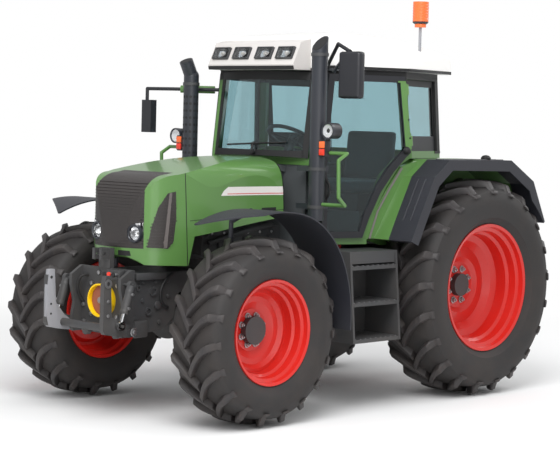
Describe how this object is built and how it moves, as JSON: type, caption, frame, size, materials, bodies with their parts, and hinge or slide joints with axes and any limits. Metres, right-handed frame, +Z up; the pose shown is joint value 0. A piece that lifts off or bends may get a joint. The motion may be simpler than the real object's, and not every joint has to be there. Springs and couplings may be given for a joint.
{
  "type": "farm tractor",
  "caption": "Four wheel drive farm tractor with an enclosed cab, steerable front axle, opening bonnet and doors, and lift linkages at the front and rear.",
  "frame": {"origin": "on the ground under the middle of the machine's box", "axes": "+X forward, +Y to the driver's left, +Z up"},
  "size_m": [4.4469, 2.3152, 3.09],
  "materials": {
    "green_paint": "satin gloss enamel",
    "door_black": "satin enamel",
    "wheel_red": "gloss enamel",
    "frame_grey": "semi matt enamel",
    "link_grey": "semi matt enamel",
    "cast_grey": "rough cast, painted",
    "tyre_rubber": "matt",
    "black_plastic": "fine grained",
    "roof_white": "smooth",
    "lamp_bar_grey": "smooth",
    "cab_glass": "lightly tinted",
    "clear_glass": "clear with a bright reflector",
    "seat_fabric": "woven",
    "amber_lens": "translucent",
    "guard_yellow": "smooth",
    "bright_steel": "polished rod",
    "stack_grey": "heat resistant matt"
  },
  "bodies": {
    "chassis": {"access_steps": "frame_grey", "beacon": "amber_lens", "cab_floor": "frame_grey", "cab_frame": "green_paint", "cab_windows": "cab_glass", "dashboard": "black_plastic", "engine_block": "cast_grey", "exhaust_stack": "stack_grey", "fender_extensions": "black_plastic", "front_axle": "cast_grey", "front_frame": "frame_grey", "front_linkage_frame": "frame_grey", "front_pto_guard": "guard_yellow", "fuel_tanks": "black_plastic", "grab_rails": "green_paint", "intake_stack": "stack_grey", "mirrors": "black_plastic", "rear_axle": "cast_grey", "rear_fenders": "green_paint", "rear_hitch": "frame_grey", "roof": "roof_white", "roof_lamp_bar": "lamp_bar_grey", "seat_back": "seat_fabric", "seat_base": "black_plastic", "seat_cushion": "seat_fabric", "transmission_housing": "cast_grey", "windscreen": "cab_glass", "work_lamps": "black_plastic"},
    "left_rear_wheel": {"left_rear_tyre": "tyre_rubber", "left_rear_rim": "wheel_red", "left_rear_hub": "frame_grey"},
    "right_rear_wheel": {"right_rear_tyre": "tyre_rubber", "right_rear_rim": "wheel_red", "right_rear_hub": "frame_grey"},
    "left_front_wheel": {"left_front_tyre": "tyre_rubber", "left_front_rim": "wheel_red", "left_front_hub": "frame_grey"},
    "right_front_wheel": {"right_front_tyre": "tyre_rubber", "right_front_rim": "wheel_red", "right_front_hub": "frame_grey"},
    "left_steering_knuckle": {"left_knuckle": "cast_grey", "left_front_fender": "black_plastic"},
    "right_steering_knuckle": {"right_knuckle": "cast_grey", "right_front_fender": "black_plastic"},
    "steering_wheel": {"steering_wheel": "black_plastic"},
    "left_door": {"left_door": "door_black", "left_door_glass": "cab_glass"},
    "right_door": {"right_door": "door_black", "right_door_glass": "cab_glass"},
    "bonnet": {"bonnet": "green_paint", "grille": "black_plastic", "headlights": "clear_glass"},
    "front_links": {"front_lower_links": "link_grey"},
    "front_barrels": {"front_lift_barrels": "frame_grey"},
    "front_rods": {"front_lift_rods": "bright_steel"},
    "rear_links": {"rear_lower_links": "frame_grey"},
    "rear_arms": {"rear_lift_arms": "frame_grey"},
    "rear_rods": {"rear_lift_rods": "frame_grey"}
  },
  "joints": [
    {"name": "left_rear_wheel_spin", "type": "hinge", "parent": "chassis", "child": "left_rear_wheel", "pos_m": [-1.112, 0.865, 0.855], "axis": [0, 1, 0], "continuous": true},
    {"name": "right_rear_wheel_spin", "type": "hinge", "parent": "chassis", "child": "right_rear_wheel", "pos_m": [-1.112, -0.865, 0.855], "axis": [0, 1, 0], "continuous": true},
    {"name": "left_steer", "type": "hinge", "parent": "chassis", "child": "left_steering_knuckle", "pos_m": [1.305, 0.68, 0.66], "axis": [0, 0, 1], "range_deg": [-40, 40]},
    {"name": "right_steer", "type": "hinge", "parent": "chassis", "child": "right_steering_knuckle", "pos_m": [1.305, -0.68, 0.66], "axis": [0, 0, 1], "range_deg": [-40, 40]},
    {"name": "left_front_wheel_spin", "type": "hinge", "parent": "left_steering_knuckle", "child": "left_front_wheel", "pos_m": [1.305, 0.891, 0.66], "axis": [0, 1, 0], "continuous": true},
    {"name": "right_front_wheel_spin", "type": "hinge", "parent": "right_steering_knuckle", "child": "right_front_wheel", "pos_m": [1.305, -0.891, 0.66], "axis": [0, 1, 0], "continuous": true},
    {"name": "steering_wheel_turn", "type": "hinge", "parent": "chassis", "child": "steering_wheel", "pos_m": [0.018, 0, 1.985], "axis": [-0.5, 0, 0.866], "range_deg": [-600, 600]},
    {"name": "left_door_hinge", "type": "hinge", "parent": "chassis", "child": "left_door", "pos_m": [-0.4218, 0.8094, 2.1], "axis": [0.0815, -0.0686, 0.9943], "range_deg": [0, 70]},
    {"name": "right_door_hinge", "type": "hinge", "parent": "chassis", "child": "right_door", "pos_m": [-0.4218, -0.8094, 2.1], "axis": [0.0815, 0.0686, 0.9943], "range_deg": [-70, 0]},
    {"name": "bonnet_hinge", "type": "hinge", "parent": "chassis", "child": "bonnet", "pos_m": [0.55, 0, 1.8], "axis": [0, -1, 0], "range_deg": [0, 45]},
    {"name": "front_link_lift", "type": "hinge", "parent": "chassis", "child": "front_links", "pos_m": [1.966, 0, 0.64], "axis": [0, -1, 0], "range_deg": [-20, 22]},
    {"name": "front_cylinder_swing", "type": "hinge", "parent": "chassis", "child": "front_barrels", "pos_m": [1.978, 0, 0.965], "axis": [0, -1, 0], "range_deg": [-2, 2]},
    {"name": "front_cylinder_stroke", "type": "slide", "parent": "front_barrels", "child": "front_rods", "axis": [0.3132, 0, -0.9497], "range_m": [-0.045, 0.042]},
    {"name": "rear_link_lift", "type": "hinge", "parent": "chassis", "child": "rear_links", "pos_m": [-1.362, 0, 0.56], "axis": [0, 1, 0], "range_deg": [-18, 30]},
    {"name": "rear_arm_lift", "type": "hinge", "parent": "chassis", "child": "rear_arms", "pos_m": [-1.372, 0, 1.23], "axis": [0, 1, 0], "range_deg": [-18, 30]},
    {"name": "rear_rod_swing", "type": "hinge", "parent": "rear_arms", "child": "rear_rods", "pos_m": [-1.762, 0, 1.2487], "axis": [0, 1, 0], "range_deg": [-30, 18]}
  ],
  "couplings": [
    {"joint": "right_steer", "follows": "left_steer", "ratio": 1},
    {"joint": "steering_wheel_turn", "follows": "left_steer", "ratio": 15},
    {"joint": "front_cylinder_swing", "follows": "front_link_lift", "ratio": -0.045},
    {"joint": "front_cylinder_stroke", "follows": "front_link_lift", "m_per_rad": -0.112},
    {"joint": "rear_arm_lift", "follows": "rear_link_lift", "ratio": 1},
    {"joint": "rear_rod_swing", "follows": "rear_link_lift", "ratio": -1}
  ]
}
